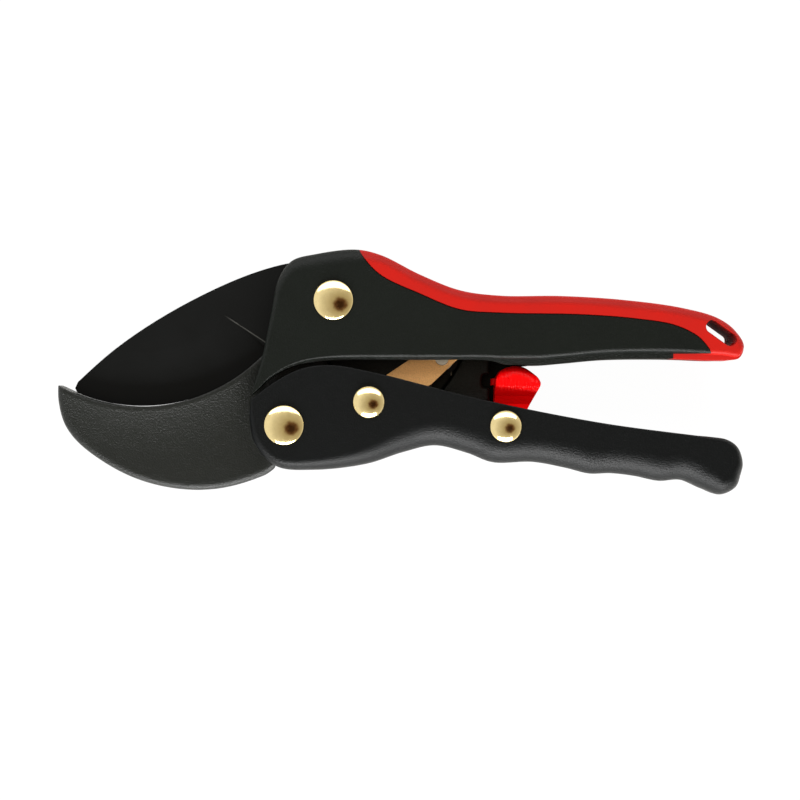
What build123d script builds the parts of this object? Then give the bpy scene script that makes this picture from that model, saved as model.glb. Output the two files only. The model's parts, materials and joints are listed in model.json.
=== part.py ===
from build123d import *
from math import atan2, cos, degrees, hypot, radians, sin, sqrt
import os

os.makedirs("parts", exist_ok=True)

# The shears lie flat: X runs toward the handle ends, Y from the lower to the upper handle, Z to the front

# Pivots
BLADE_PIVOT = (-19.8, 21.3)
HANDLE_PIVOT = (-34.5, -15.9)
RATCHET_PIN = (-9.3, -9.0)
LATCH_PIVOT = (31.5, -16.2)
LINK_PIVOT = (12.6, 4.05)

# Layers through the thickness
HANDLE_THICKNESS = 18.0
BLADE_THICKNESS = 2.5
LINK_THICKNESS = 2.4
LINK_SIDE_GAP = 0.5
WASHER_THICKNESS = 0.3
RUN_CLEARANCE = 0.05
SIDE_CLEARANCE = 0.1
SEAT_GAP = 0.02

MID = HANDLE_THICKNESS / 2
BLADE_FRONT = MID + BLADE_THICKNESS / 2
BLADE_REAR = MID - BLADE_THICKNESS / 2
LINK_REAR = BLADE_FRONT + WASHER_THICKNESS + RUN_CLEARANCE
LINK_FRONT = LINK_REAR + LINK_THICKNESS
FORK_HALF = LINK_FRONT + LINK_SIDE_GAP - MID
JAW_HALF = FORK_HALF - SIDE_CLEARANCE
CHANNEL_HALF = JAW_HALF + WASHER_THICKNESS + 2 * RUN_CLEARANCE
PLATE_REAR = MID - JAW_HALF
PLATE_FRONT = BLADE_REAR - WASHER_THICKNESS - RUN_CLEARANCE

# Rivets
LARGE_SHANK = 3.0
LARGE_HEAD = 5.9
LARGE_TAIL = 4.2
LARGE_WASHER = 5.0
SMALL_SHANK = 2.0
SMALL_HEAD = 4.75
SMALL_TAIL = 3.2
SMALL_WASHER = 4.0
HEAD_HEIGHT = 2.2
HEAD_RIM = 0.5
TAIL_THICKNESS = 1.0
TAIL_INSET = 0.2
RIVET_WASHER_THICKNESS = 0.5
COUNTERBORE_GAP = 0.2
COUNTERBORE_DEPTH = TAIL_INSET + TAIL_THICKNESS + RIVET_WASHER_THICKNESS

# Anvil jaw
LIP_LOW_POINT = (-78.0, -10.35)
LIP_RADIUS = 51.0
LIP_CENTRE = (LIP_LOW_POINT[0], LIP_LOW_POINT[1] + LIP_RADIUS)
LIP_END_ANGLE = 332.0
LIP_RIM = 1.2
JAW_WEB_HALF = 2.6
JAW_HOLLOW_WIDTH = 14.0
JAW_EDGE_ROUND = 2.0
JAW_BOSS_RADIUS = 9.9
JAW_NECK_ANGLE = -102.0
JAW_LOWER_EDGE = [
    (-38.2, -29.0), (-45.0, -31.8), (-54.0, -34.2), (-61.0, -34.8), (-69.0, -34.2),
    (-81.0, -30.9), (-92.0, -24.7), (-99.5, -17.7), (-102.8, -9.8), (-103.0, -2.6), (-101.0, 6.0),
]
TANG_LOWER_EDGE = [(16.0, -8.4), (2.0, -6.2), (-5.0, -5.2), (-14.0, -5.2)]
TANG_END = 27.3
TANG_END_TOP = 13.0
TANG_END_BOTTOM = -9.6
TANG_HEAD_EDGE = [(-39.0, 7.6), (-36.5, 14.0), (-34.0, 26.0), (-30.5, 31.3), (-18.0, 33.2)]
TANG_BAR_HEIGHT = 4.0
TANG_BAR_START = -5.0
TANG_BAR_END = 24.0
NOTCH_CENTRE = -2.6
NOTCH_HEIGHT = 4.0
NOTCH_DEPTH = 2.4
SPRING_RECESS_HALF = 5.5
SPRING_RECESS_DEPTH = 1.6

# Blade
HUB_RADIUS = 12.0
HEEL_RADIUS = 16.0
HEEL_GAP = 0.4
TAIL_RADIUS = 5.0
EDGE_GAP = 0.15
EDGE_HALF = 0.12
GRIND_WIDTH = 16.4
GRIND_START_ANGLE = -41.5
GRIND_SWEEP = 100.0
BLADE_TIP_ANGLE = 247.0
BLADE_TIP = (-98.5, -4.8)
BLADE_SPINE = [(-97.6, -2.9), (-90.0, 3.9), (-75.0, 14.8), (-57.0, 24.7), (-42.0, 30.8), (-32.0, 33.2)]
BLADE_TIP_SLOPE = (0.55, 0.5)
BUSH_RADIUS = 4.5
SPACER_RADIUS = 10.0
BLADE_WASHER_RADIUS = 8.0
TAIL_TOP_ANGLE = 10.0
TAIL_BOTTOM_ANGLE = -45.0

# Ratchet link, its edges measured from its pivot toward the ratchet pin
LINK_PIN_RADIUS = 2.0
LINK_PIN_PROUD = 0.25
LINK_WASHER_RADIUS = 3.6
LINK_BACK_EDGE = [(-4.2, 2.5), (6.5, 5.0), (13.0, 5.2), (23.5, 5.0)]
LINK_FRONT_EDGE = [(20.2, -2.5), (17.4, -4.3), (9.4, -4.7), (0.0, -4.6), (-3.2, -3.2), (-4.4, 0.0)]
LINK_TIP_BACK = 3.6
LINK_TOOTH_TOP = 1.0
LINK_OVERHANG = 1.4
NOTCH_CLEARANCE = 0.1
NOTCH_PITCH = 3.6
NOTCH_COUNT = 2

# Upper handle
UPPER_OUTLINE = [
    (-46.6, -16.0), (-44.2, -7.0), (-41.2, 4.0), (-38.4, 18.0), (-36.4, 27.6), (-32.4, 33.2), (-25.0, 35.3),
    (-13.0, 36.6), (-5.6, 34.9), (6.0, 29.1), (18.0, 24.4), (30.0, 22.8), (48.0, 22.7), (66.0, 21.6),
    (84.0, 19.2), (95.0, 16.1), (100.2, 12.3), (102.8, 7.6), (101.2, 4.1), (96.0, 3.55), (80.0, 4.1),
    (62.0, 4.0), (50.0, 2.9), (41.0, 2.0),
]
UNDERCUT_LEFT = [(-48.0, -12.0), (-44.3, -7.4), (-38.8, -1.8), (-32.0, 1.9), (-25.0, 3.4), (-16.5, 3.7)]
UNDERCUT_RIGHT = [(31.0, 3.7), (36.0, 2.9), (41.0, 2.0)]
UNDERCUT_TAIL_SLOPE = (1.0, 1.4)
UPPER_EDGE_ROUND = 2.0
GRIP_BOUNDARY = [
    (-12.6, 38.0), (-11.4, 35.2), (-6.0, 29.4), (6.0, 23.7), (18.0, 18.9), (30.0, 18.0), (54.0, 17.5),
    (70.0, 16.4), (82.0, 14.4), (89.0, 10.8), (92.6, 6.2),
]
GRIP_PATCH_TOP = 5.4
GRIP_PATCH_START = 81.6
REAR_WEB = [(20.0, 8.0), (20.0, -6.6), (31.5, -9.1), (31.5, 8.0)]
REAR_WEB_THICKNESS = 2.2
ROOF = [(-12.9, 31.6), (-5.0, 26.5), (6.0, 21.0), (18.0, 16.4), (27.0, 15.4), (38.0, 15.4)]
SLOT_CENTRE = (95.7, 11.6)
SLOT_LENGTH = 10.4
SLOT_WIDTH = 4.0
SLOT_ANGLE = -35.5

# Lower handle
LOWER_OUTLINE = [
    (105.0, -8.0), (103.1, -24.0), (102.6, -30.3), (100.8, -34.4), (96.3, -36.3), (91.4, -34.6),
    (84.5, -31.9), (78.0, -32.3), (70.5, -30.7), (63.5, -30.0), (57.0, -30.2), (50.0, -28.5),
    (40.0, -26.8), (28.0, -27.0), (20.0, -24.1), (10.5, -21.9), (1.0, -23.9), (-10.0, -27.5),
    (-26.0, -29.4), (-37.0, -28.3), (-43.3, -21.8), (-44.9, -14.0), (-44.3, -8.0), (-40.2, 6.0),
]
LOWER_TOP = [
    (-47.0, -10.4), (-43.6, -7.6), (-36.0, -2.2), (-28.5, 1.2), (-20.5, 2.0), (-9.0, 0.1), (24.0, -8.1),
    (60.0, -15.2), (90.0, -19.2), (97.5, -20.2), (101.0, -22.6), (103.6, -29.0),
]
FINGER_ROUND = 4.6
FLOOR = [
    (-26.7, -26.0), (-10.0, -24.0), (1.0, -20.8), (10.5, -18.9), (20.0, -21.0), (28.0, -23.8), (44.0, -24.0),
]

# Lock latch
LATCH_SIDE = [(28.3, -9.6), (29.2, -0.4)]
LATCH_CROWN = (35.0, 1.9)
LATCH_RIGHT = [(42.3, -3.2), (38.4, -11.1)]
LATCH_BOSS = 5.2
LATCH_PAD_HALF = 6.4
LATCH_PAD_BOTTOM = -5.0
LATCH_PAD_LEFT = 28.65
LATCH_ROUND = 2.4
LATCH_NOSE_HEIGHT = 2.6
LATCH_NOSE_GAP = 0.35
NOSE_SIDE_GAP = 0.2

# Springs
BLADE_SPRING_THICKNESS = 0.6
BLADE_SPRING_SIDE_GAP = 0.3
BLADE_SPRING_REACH = 11.0
BLADE_SPRING_BEND = 1.0
LINK_SPRING_WIRE = 0.5
LINK_SPRING_RADIUS = 3.0
LINK_SPRING_PITCH = 0.55
LINK_SPRING_GAP = 0.2
LINK_SPRING_TURNS = 1.5
LINK_SPRING_LEG = 5.0


def polar(centre, radius, angle):
    """Point at a distance and an angle in degrees from a centre."""
    return (centre[0] + radius * cos(radians(angle)), centre[1] + radius * sin(radians(angle)))


def bearing(start, end):
    """Angle in degrees of the line from one point to another."""
    return degrees(atan2(end[1] - start[1], end[0] - start[0]))


def spacing(start, end):
    """Distance between two points."""
    return hypot(end[0] - start[0], end[1] - start[1])


def shift(points, dx, dy):
    """The same points, moved."""
    return [(x + dx, y + dy) for x, y in points]


def upright(centre, angle=0.0):
    """Plane through a vertical axis: local x points outward at the angle, local y is up."""
    outward = (cos(radians(angle)), sin(radians(angle)), 0)
    normal = (sin(radians(angle)), -cos(radians(angle)), 0)
    return Plane(origin=(centre[0], centre[1], 0), x_dir=outward, z_dir=normal)


def vertical_axis(centre, direction=1):
    """Axis through a point, along the thickness."""
    return Axis((centre[0], centre[1], 0), (0, 0, direction))


def meeting_angle(first, first_radius, second, second_radius):
    """Angle about the first centre where its circle crosses the second circle, on the clockwise side."""
    apart = spacing(first, second)
    along = (apart**2 + first_radius**2 - second_radius**2) / (2 * apart)
    return bearing(first, second) - degrees(atan2(sqrt(first_radius**2 - along**2), along))


def drill(pivot, radius):
    """Hole right through at a pivot."""
    with Locations((pivot[0], pivot[1], MID)):
        Hole(radius)


def counterbore(pivot, radius):
    """Flat-bottomed recess in the rear face at a pivot."""
    with Locations((pivot[0], pivot[1], 0)):
        Cylinder(
            radius + COUNTERBORE_GAP, COUNTERBORE_DEPTH, mode=Mode.SUBTRACT,
            align=(Align.CENTER, Align.CENTER, Align.MIN),
        )


def make_rivet(label, pivot, shank, head, tail):
    """Domed rivet from the peened tail at the rear to the head on the front face."""
    seat = HANDLE_THICKNESS + SEAT_GAP
    dome = HEAD_HEIGHT - HEAD_RIM
    sphere = (head**2 + dome**2) / (2 * dome)
    crown = seat + HEAD_HEIGHT
    halfway = (head / 2, crown - sphere + sqrt(sphere**2 - (head / 2) ** 2))
    tail_top = TAIL_INSET + TAIL_THICKNESS
    with BuildPart() as rivet:
        with BuildSketch(upright(pivot)):
            with BuildLine():
                Polyline(
                    (0, crown), (0, TAIL_INSET), (tail, TAIL_INSET), (tail, tail_top), (shank, tail_top),
                    (shank, seat), (head, seat), (head, seat + HEAD_RIM),
                )
                ThreePointArc((head, seat + HEAD_RIM), halfway, (0, crown))
            make_face()
        revolve(axis=vertical_axis(pivot))
    rivet.part.label = label
    export_step(rivet.part, f"parts/{label}.step")


def make_rings(label, pivots, outer, inner, bottoms, thickness):
    """Flat rings, one for each pivot and each height."""
    with BuildPart() as rings:
        for pivot in pivots:
            for bottom in bottoms:
                with BuildSketch(Plane.XY.offset(bottom)):
                    with Locations(pivot):
                        Circle(outer)
                        Circle(inner, mode=Mode.SUBTRACT)
                extrude(amount=thickness)
    rings.part.label = label
    export_step(rings.part, f"parts/{label}.step")


# Anvil jaw with its tang

tang_bar = [point for point in ROOF if TANG_BAR_START <= point[0] < TANG_END]
with BuildPart() as anvil_jaw:
    lip_end = polar(LIP_CENTRE, LIP_RADIUS, LIP_END_ANGLE)
    with BuildSketch(Plane.XY.offset(MID - JAW_HALF)):
        with BuildLine():
            Spline(*JAW_LOWER_EDGE)
            Polyline(
                JAW_LOWER_EDGE[-1],
                lip_end,
                (BLADE_PIVOT[0], lip_end[1] - HEEL_RADIUS),
                (HANDLE_PIVOT[0] + JAW_BOSS_RADIUS, HANDLE_PIVOT[1]),
                polar(HANDLE_PIVOT, JAW_BOSS_RADIUS - SIDE_CLEARANCE, JAW_NECK_ANGLE),
                JAW_LOWER_EDGE[0],
            )
        make_face()
        with Locations(BLADE_PIVOT):
            Circle(HEEL_RADIUS + HEEL_GAP, mode=Mode.SUBTRACT)
    extrude(amount=2 * JAW_HALF)
    for side in (1, -1):
        rim = LIP_RADIUS + LIP_RIM
        bottom = rim + JAW_HOLLOW_WIDTH
        with BuildSketch(upright(LIP_CENTRE)):
            with BuildLine():
                Polyline(
                    (bottom, MID + side * JAW_WEB_HALF),
                    (bottom + LIP_RADIUS, MID + side * JAW_WEB_HALF),
                    (bottom + LIP_RADIUS, MID + side * 2 * JAW_HALF),
                    (rim, MID + side * 2 * JAW_HALF),
                    (rim, MID + side * JAW_HALF),
                )
                TangentArc(
                    (bottom, MID + side * JAW_WEB_HALF),
                    (rim, MID + side * JAW_HALF),
                    tangent=(-1, 0),
                )
            make_face()
        revolve(axis=vertical_axis(LIP_CENTRE), mode=Mode.SUBTRACT)
    underside_face = anvil_jaw.faces().sort_by(Axis.Y)[0]
    fillet(underside_face.edges().filter_by(lambda edge: abs(edge.center().Z - MID) > 1), JAW_EDGE_ROUND)
    with Locations((LIP_CENTRE[0], LIP_CENTRE[1], MID)):
        Cylinder(LIP_RADIUS, HANDLE_THICKNESS, mode=Mode.SUBTRACT)
    with BuildSketch(Plane.XY.offset(MID - JAW_HALF)):
        with Locations(HANDLE_PIVOT):
            Circle(JAW_BOSS_RADIUS)
    extrude(amount=2 * JAW_HALF)
    with BuildSketch(Plane.XY.offset(PLATE_REAR)):
        with BuildLine():
            Polyline(
                *TANG_HEAD_EDGE,
                *shift(tang_bar, 0, -TANG_BAR_HEIGHT / 2),
                (TANG_END, TANG_END_TOP),
                (TANG_END, NOTCH_CENTRE + NOTCH_HEIGHT / 2),
                (TANG_END - NOTCH_DEPTH, NOTCH_CENTRE + NOTCH_HEIGHT / 2),
                (TANG_END - NOTCH_DEPTH, NOTCH_CENTRE - NOTCH_HEIGHT / 2),
                (TANG_END, NOTCH_CENTRE - NOTCH_HEIGHT / 2),
                (TANG_END, TANG_END_BOTTOM),
                *TANG_LOWER_EDGE,
                (HANDLE_PIVOT[0] + JAW_BOSS_RADIUS, HANDLE_PIVOT[1]),
                HANDLE_PIVOT,
                close=True,
            )
        make_face()
    extrude(amount=PLATE_FRONT - PLATE_REAR)
    with BuildSketch(Plane.XY.offset(PLATE_FRONT)):
        with Locations(BLADE_PIVOT):
            Circle(spacing(BLADE_PIVOT, LINK_PIVOT) + SPRING_RECESS_HALF)
            Circle(spacing(BLADE_PIVOT, LINK_PIVOT) - SPRING_RECESS_HALF, mode=Mode.SUBTRACT)
        with Locations((TANG_BAR_START, TANG_END_BOTTOM)):
            Rectangle(
                TANG_END - TANG_BAR_START, ROOF[0][1] - TANG_END_BOTTOM, align=Align.MIN, mode=Mode.INTERSECT
            )
    extrude(amount=-SPRING_RECESS_DEPTH, mode=Mode.SUBTRACT)
    with BuildSketch(Plane.XY.offset(MID - FORK_HALF)):
        with BuildLine():
            bar_top = Spline(*shift(ROOF, 0, -SEAT_GAP))
            bar_bottom = Spline(*shift(ROOF, 0, -TANG_BAR_HEIGHT))
            Line(bar_top @ 0, bar_bottom @ 0)
            Line(bar_top @ 1, bar_bottom @ 1)
        make_face()
        with Locations((TANG_BAR_START, 0)):
            Rectangle(
                TANG_BAR_END - TANG_BAR_START, ROOF[0][1], align=Align.MIN, mode=Mode.INTERSECT
            )
    extrude(amount=2 * FORK_HALF)
    drill(BLADE_PIVOT, LARGE_SHANK + RUN_CLEARANCE)
    drill(HANDLE_PIVOT, LARGE_SHANK + RUN_CLEARANCE)
anvil_jaw.part.label = "anvil_jaw"
export_step(anvil_jaw.part, "parts/anvil_jaw.step")

# Blade with its tail

edge_radius = LIP_RADIUS - EDGE_GAP
edge_end = meeting_angle(LIP_CENTRE, edge_radius, BLADE_PIVOT, HEEL_RADIUS)
tail_across = bearing(polar(BLADE_PIVOT, HUB_RADIUS, TAIL_TOP_ANGLE), LINK_PIVOT) + 90
tail_top = (polar(BLADE_PIVOT, HUB_RADIUS, TAIL_TOP_ANGLE), polar(LINK_PIVOT, TAIL_RADIUS, tail_across))
with BuildPart() as blade:
    with BuildSketch(Plane.XY.offset(BLADE_REAR)):
        with BuildLine():
            hub_top = (BLADE_PIVOT[0], BLADE_PIVOT[1] + HUB_RADIUS)
            Spline(*BLADE_SPINE, hub_top, tangents=(BLADE_TIP_SLOPE, (1, 0)))
            CenterArc(BLADE_PIVOT, HUB_RADIUS, 90, TAIL_TOP_ANGLE - 90)
            Line(*tail_top)
            CenterArc(LINK_PIVOT, TAIL_RADIUS, tail_across, -180)
            Line(
                polar(LINK_PIVOT, TAIL_RADIUS, tail_across - 180),
                polar(BLADE_PIVOT, HEEL_RADIUS, TAIL_BOTTOM_ANGLE),
            )
            heel_end = bearing(BLADE_PIVOT, polar(LIP_CENTRE, edge_radius, edge_end))
            CenterArc(BLADE_PIVOT, HEEL_RADIUS, TAIL_BOTTOM_ANGLE, heel_end - TAIL_BOTTOM_ANGLE)
            edge = CenterArc(LIP_CENTRE, edge_radius, edge_end, BLADE_TIP_ANGLE - 360 - edge_end)
            Polyline(edge @ 1, BLADE_TIP, BLADE_SPINE[0])
        make_face()
    extrude(amount=BLADE_THICKNESS)
    for side in (1, -1):
        grind = edge_radius - GRIND_WIDTH
        face = MID + side * BLADE_THICKNESS / 2
        with BuildSketch(upright(LIP_CENTRE, GRIND_START_ANGLE)):
            with BuildLine():
                Polyline(
                    (grind, face),
                    (LIP_RADIUS, MID + side * EDGE_HALF),
                    (LIP_RADIUS, MID + side * BLADE_THICKNESS),
                    (grind, MID + side * BLADE_THICKNESS),
                    close=True,
                )
            make_face()
        revolve(axis=vertical_axis(LIP_CENTRE, -1), revolution_arc=GRIND_SWEEP, mode=Mode.SUBTRACT)
    drill(BLADE_PIVOT, BUSH_RADIUS + SEAT_GAP)
    drill(LINK_PIVOT, LINK_PIN_RADIUS + SEAT_GAP)
blade.part.label = "blade"
export_step(blade.part, "parts/blade.step")

make_rings(
    "pivot_bush", [BLADE_PIVOT], BUSH_RADIUS, LARGE_SHANK + RUN_CLEARANCE, [BLADE_REAR], BLADE_THICKNESS
)
make_rings(
    "blade_washer", [BLADE_PIVOT], BLADE_WASHER_RADIUS, LARGE_SHANK + RUN_CLEARANCE,
    [BLADE_REAR - WASHER_THICKNESS], WASHER_THICKNESS,
)
make_rings(
    "blade_spacer", [BLADE_PIVOT], SPACER_RADIUS, LARGE_SHANK + RUN_CLEARANCE,
    [BLADE_FRONT + RUN_CLEARANCE], MID + FORK_HALF - BLADE_FRONT - RUN_CLEARANCE,
)

# Ratchet link, notched along the side that bears on the ratchet pin

link_reach = spacing(LINK_PIVOT, RATCHET_PIN)
link_angle = bearing(LINK_PIVOT, RATCHET_PIN)
link_plane = Plane(
    origin=(LINK_PIVOT[0], LINK_PIVOT[1], LINK_REAR),
    x_dir=(cos(radians(link_angle)), sin(radians(link_angle)), 0),
    z_dir=(0, 0, 1),
)
with BuildPart() as ratchet_link:
    with BuildSketch(link_plane):
        with BuildLine():
            Polyline(
                *LINK_BACK_EDGE,
                (link_reach + LINK_OVERHANG, LINK_TIP_BACK),
                (link_reach + LINK_OVERHANG, LINK_TOOTH_TOP),
                (link_reach - NOTCH_PITCH / 2, LINK_TOOTH_TOP),
                *LINK_FRONT_EDGE,
                close=True,
            )
        make_face()
        with Locations(*[(link_reach - NOTCH_PITCH * n, 0) for n in range(NOTCH_COUNT)]):
            Circle(SMALL_SHANK + NOTCH_CLEARANCE, mode=Mode.SUBTRACT)
        Circle(LINK_PIN_RADIUS + RUN_CLEARANCE, mode=Mode.SUBTRACT)
    extrude(amount=LINK_THICKNESS)
ratchet_link.part.label = "ratchet_link"
export_step(ratchet_link.part, "parts/ratchet_link.step")

with BuildPart() as link_pivot_pin:
    with BuildSketch(Plane.XY.offset(BLADE_REAR)):
        with Locations(LINK_PIVOT):
            Circle(LINK_PIN_RADIUS)
    extrude(amount=LINK_FRONT + LINK_PIN_PROUD - BLADE_REAR)
    chamfer(link_pivot_pin.edges().group_by(Axis.Z)[-1], LINK_PIN_PROUD / 2)
link_pivot_pin.part.label = "link_pivot_pin"
export_step(link_pivot_pin.part, "parts/link_pivot_pin.step")

make_rings(
    "link_washer", [LINK_PIVOT], LINK_WASHER_RADIUS, LINK_PIN_RADIUS + RUN_CLEARANCE,
    [BLADE_FRONT], WASHER_THICKNESS,
)

# Upper handle and its grip, cut from one moulded shape along the colour boundary

blank_low = UPPER_OUTLINE[0]
with BuildPart() as handle_shape:
    with BuildSketch(Plane.XY):
        with BuildLine():
            Spline(*UPPER_OUTLINE)
            Polyline(UPPER_OUTLINE[-1], (UNDERCUT_RIGHT[0][0], blank_low[1]), blank_low)
        make_face()
    extrude(amount=HANDLE_THICKNESS)
    rims = handle_shape.faces().filter_by(Axis.Z).edges().filter_by(GeomType.BSPLINE)
    fillet(rims, UPPER_EDGE_ROUND)
    with BuildSketch(Plane.XY):
        with BuildLine():
            Spline(*UNDERCUT_LEFT, tangents=(UNDERCUT_TAIL_SLOPE, (1, 0)))
            Line(UNDERCUT_LEFT[-1], UNDERCUT_RIGHT[0])
            Spline(*UNDERCUT_RIGHT, tangents=((1, 0), (1, 0)))
            Polyline(
                UNDERCUT_RIGHT[-1],
                (UNDERCUT_RIGHT[-1][0], 2 * blank_low[1]),
                (UNDERCUT_LEFT[0][0], 2 * blank_low[1]),
                UNDERCUT_LEFT[0],
            )
        make_face()
    extrude(amount=HANDLE_THICKNESS, mode=Mode.SUBTRACT)
    with BuildSketch(Plane.XY.offset(MID - FORK_HALF)):
        with BuildLine():
            roof = Spline(*ROOF)
            Polyline(
                roof @ 1,
                (ROOF[-1][0], 2 * blank_low[1]),
                (2 * blank_low[0], 2 * blank_low[1]),
                (2 * blank_low[0], 2 * ROOF[0][1]),
                (ROOF[0][0], 2 * ROOF[0][1]),
                roof @ 0,
            )
        make_face()
    extrude(amount=2 * FORK_HALF, mode=Mode.SUBTRACT)
    with BuildSketch(Plane.XY):
        with BuildLine():
            Polyline(*REAR_WEB, close=True)
        make_face()
    extrude(amount=REAR_WEB_THICKNESS)
    drill(BLADE_PIVOT, LARGE_SHANK + RUN_CLEARANCE)
    counterbore(BLADE_PIVOT, LARGE_WASHER)
    with BuildSketch(Plane.XY):
        with Locations(SLOT_CENTRE):
            SlotOverall(SLOT_LENGTH, SLOT_WIDTH, rotation=SLOT_ANGLE)
    extrude(amount=HANDLE_THICKNESS, mode=Mode.SUBTRACT)

with BuildSketch(Plane.XY) as grip_region:
    with BuildLine():
        border = Spline(*GRIP_BOUNDARY)
        Polyline(
            border @ 1,
            (GRIP_BOUNDARY[-1][0], GRIP_PATCH_TOP),
            (GRIP_PATCH_START, GRIP_PATCH_TOP),
            (GRIP_PATCH_START, -HANDLE_THICKNESS),
            (2 * GRIP_BOUNDARY[-1][0], -HANDLE_THICKNESS),
            (2 * GRIP_BOUNDARY[-1][0], GRIP_BOUNDARY[0][1]),
            border @ 0,
        )
    make_face()

with BuildPart() as upper_handle:
    add(handle_shape.part)
    extrude(grip_region.sketch, amount=HANDLE_THICKNESS, mode=Mode.SUBTRACT)
upper_handle.part.label = "upper_handle"
export_step(upper_handle.part, "parts/upper_handle.step")

with BuildPart() as upper_grip:
    add(handle_shape.part)
    extrude(grip_region.sketch, amount=HANDLE_THICKNESS, mode=Mode.INTERSECT)
upper_grip.part.label = "upper_grip"
export_step(upper_grip.part, "parts/upper_grip.step")

# Lower handle, a channel open toward the upper handle

with BuildPart() as lower_handle:
    with BuildSketch(Plane.XY):
        with BuildLine():
            Spline(*LOWER_OUTLINE)
            Line(LOWER_OUTLINE[-1], LOWER_OUTLINE[0])
        make_face()
    extrude(amount=HANDLE_THICKNESS)
    rims = lower_handle.faces().filter_by(Axis.Z).edges().filter_by(GeomType.BSPLINE)
    fillet(rims, FINGER_ROUND)
    with BuildSketch(Plane.XY):
        with BuildLine():
            top_edge = Spline(*LOWER_TOP)
            Polyline(
                top_edge @ 1,
                (2 * LOWER_OUTLINE[0][0], LOWER_TOP[-1][1]),
                (2 * LOWER_OUTLINE[0][0], HANDLE_THICKNESS),
                (LOWER_TOP[0][0], HANDLE_THICKNESS),
                top_edge @ 0,
            )
        make_face()
    extrude(amount=HANDLE_THICKNESS, mode=Mode.SUBTRACT)
    with BuildSketch(Plane.XY.offset(MID - CHANNEL_HALF)):
        with BuildLine():
            floor = Spline(*FLOOR)
            Polyline(
                floor @ 1,
                (FLOOR[-1][0], HANDLE_THICKNESS),
                (2 * LOWER_TOP[0][0], HANDLE_THICKNESS),
                (2 * LOWER_TOP[0][0], 2 * FLOOR[0][1]),
                (FLOOR[0][0], 2 * FLOOR[0][1]),
                floor @ 0,
            )
        make_face()
    extrude(amount=2 * CHANNEL_HALF, mode=Mode.SUBTRACT)
    drill(HANDLE_PIVOT, LARGE_SHANK + RUN_CLEARANCE)
    counterbore(HANDLE_PIVOT, LARGE_WASHER)
    for pivot in (RATCHET_PIN, LATCH_PIVOT):
        drill(pivot, SMALL_SHANK + RUN_CLEARANCE)
        counterbore(pivot, SMALL_WASHER)
lower_handle.part.label = "lower_handle"
export_step(lower_handle.part, "parts/lower_handle.step")

# Lock latch

with BuildPart() as lock_latch:
    with BuildSketch(Plane.XY.offset(MID - JAW_HALF)):
        with BuildLine():
            crown = ThreePointArc(LATCH_SIDE[1], LATCH_CROWN, LATCH_RIGHT[0])
            Polyline(
                crown @ 1,
                LATCH_RIGHT[1],
                polar(LATCH_PIVOT, LATCH_BOSS, 0),
                LATCH_PIVOT,
                polar(LATCH_PIVOT, LATCH_BOSS, 180),
                LATCH_SIDE[0],
                crown @ 0,
            )
        make_face()
        with Locations(LATCH_PIVOT):
            Circle(LATCH_BOSS)
    extrude(amount=2 * JAW_HALF)
    with BuildSketch(Plane.XY.offset(MID - LATCH_PAD_HALF)):
        with BuildLine():
            crown = ThreePointArc(LATCH_SIDE[1], LATCH_CROWN, LATCH_RIGHT[0])
            Polyline(
                crown @ 1,
                (LATCH_RIGHT[0][0], LATCH_PAD_BOTTOM),
                (LATCH_PAD_LEFT, LATCH_PAD_BOTTOM),
                crown @ 0,
            )
        make_face()
    extrude(amount=2 * LATCH_PAD_HALF)
    crown_edges = lock_latch.faces().sort_by(Axis.Y)[-1].edges()
    fillet(crown_edges.filter_by(GeomType.CIRCLE), LATCH_ROUND)
    with BuildSketch(Plane.XY.offset(PLATE_REAR + NOSE_SIDE_GAP)):
        with BuildLine():
            Polyline(
                (TANG_END + LATCH_NOSE_GAP, NOTCH_CENTRE - LATCH_NOSE_HEIGHT / 2),
                (TANG_END + LATCH_NOSE_GAP, NOTCH_CENTRE + LATCH_NOSE_HEIGHT / 4),
                (LATCH_SIDE[1][0] + LATCH_NOSE_HEIGHT, NOTCH_CENTRE + LATCH_NOSE_HEIGHT / 2),
                (LATCH_SIDE[1][0] + LATCH_NOSE_HEIGHT, NOTCH_CENTRE - LATCH_NOSE_HEIGHT / 2),
                close=True,
            )
        make_face()
    extrude(amount=PLATE_FRONT - PLATE_REAR - 2 * NOSE_SIDE_GAP)
    drill(LATCH_PIVOT, SMALL_SHANK + RUN_CLEARANCE)
lock_latch.part.label = "lock_latch"
export_step(lock_latch.part, "parts/lock_latch.step")

# Rivets and washers

make_rivet("blade_pivot_rivet", BLADE_PIVOT, LARGE_SHANK, LARGE_HEAD, LARGE_TAIL)
make_rivet("handle_pivot_rivet", HANDLE_PIVOT, LARGE_SHANK, LARGE_HEAD, LARGE_TAIL)
make_rivet("ratchet_pin_rivet", RATCHET_PIN, SMALL_SHANK, SMALL_HEAD, SMALL_TAIL)
make_rivet("latch_pivot_rivet", LATCH_PIVOT, SMALL_SHANK, SMALL_HEAD, SMALL_TAIL)
rivet_washer_bottom = TAIL_INSET + TAIL_THICKNESS
make_rings(
    "rivet_washers_large", [BLADE_PIVOT, HANDLE_PIVOT], LARGE_WASHER, LARGE_SHANK + RUN_CLEARANCE,
    [rivet_washer_bottom], RIVET_WASHER_THICKNESS - SEAT_GAP,
)
make_rings(
    "rivet_washers_small", [RATCHET_PIN, LATCH_PIVOT], SMALL_WASHER, SMALL_SHANK + RUN_CLEARANCE,
    [rivet_washer_bottom], RIVET_WASHER_THICKNESS - SEAT_GAP,
)
washer_bottoms = [MID - CHANNEL_HALF, MID + CHANNEL_HALF - WASHER_THICKNESS]
make_rings(
    "handle_washers", [HANDLE_PIVOT], JAW_BOSS_RADIUS - 2 * WASHER_THICKNESS, LARGE_SHANK + RUN_CLEARANCE,
    washer_bottoms, WASHER_THICKNESS,
)
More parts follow.
